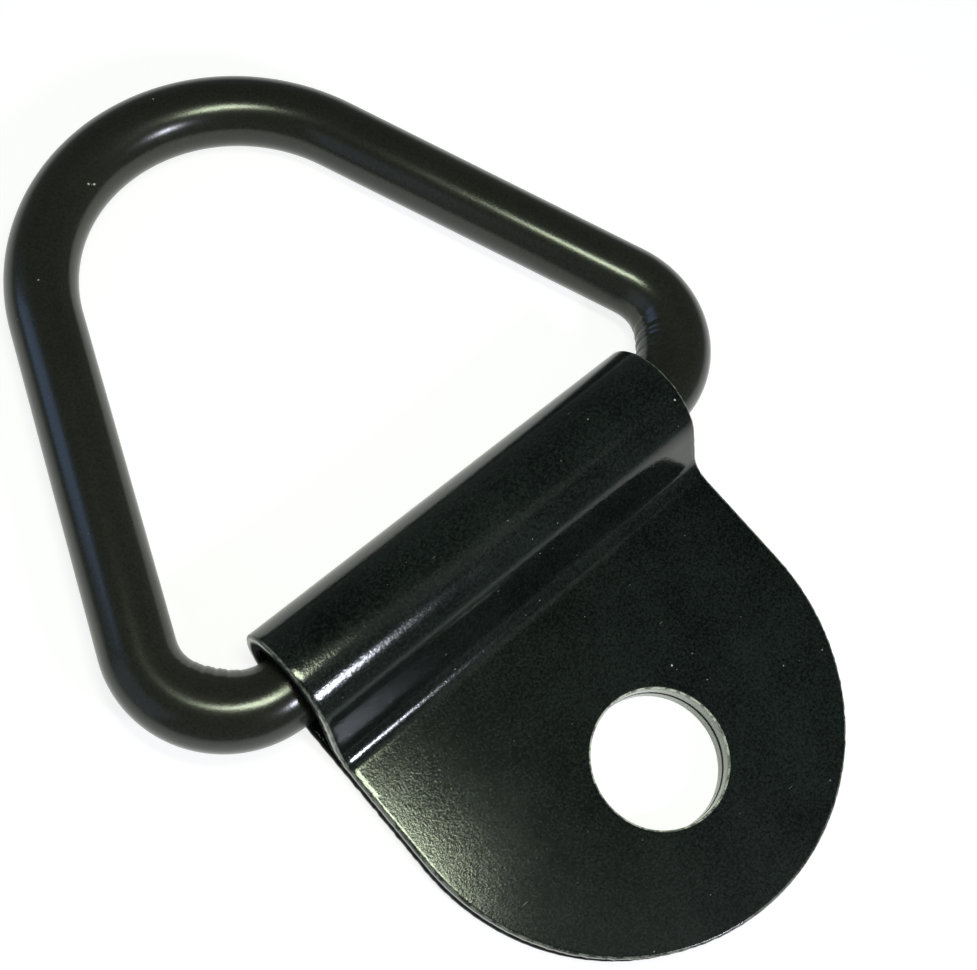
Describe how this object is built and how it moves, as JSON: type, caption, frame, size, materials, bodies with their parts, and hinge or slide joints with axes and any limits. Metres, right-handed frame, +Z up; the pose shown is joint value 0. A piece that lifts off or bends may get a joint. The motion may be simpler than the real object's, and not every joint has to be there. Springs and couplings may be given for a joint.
{
  "type": "v-ring tie-down anchor",
  "caption": "Bolt-on anchor: a folded steel strap with a round-ended bolt tongue, holding a V-shaped ring of round bar that swings in its roll and takes a hook or strap.",
  "frame": {"origin": "centre of the bolt hole on the mounting plane, the underside of the tongue", "axes": "+Y from the bolt hole to the roll and on to the ring's apex, +X along the roll, +Z up, away from the surface that the bracket is bolted to"},
  "size_m": [0.0788, 0.1138, 0.0136],
  "materials": {
    "bracket_coat": "satin black coat on sheet steel, fine orange peel",
    "ring_coat": "semi-gloss black coat on round steel bar"
  },
  "bodies": {
    "bracket": {"bracket": "bracket_coat"},
    "ring": {"v_ring": "ring_coat"}
  },
  "joints": [
    {"name": "ring_swing", "type": "hinge", "parent": "bracket", "child": "ring", "pos_m": [0, 0.0298, 0.00605], "axis": [1, 0, 0], "range_deg": [-159, 180]}
  ]
}
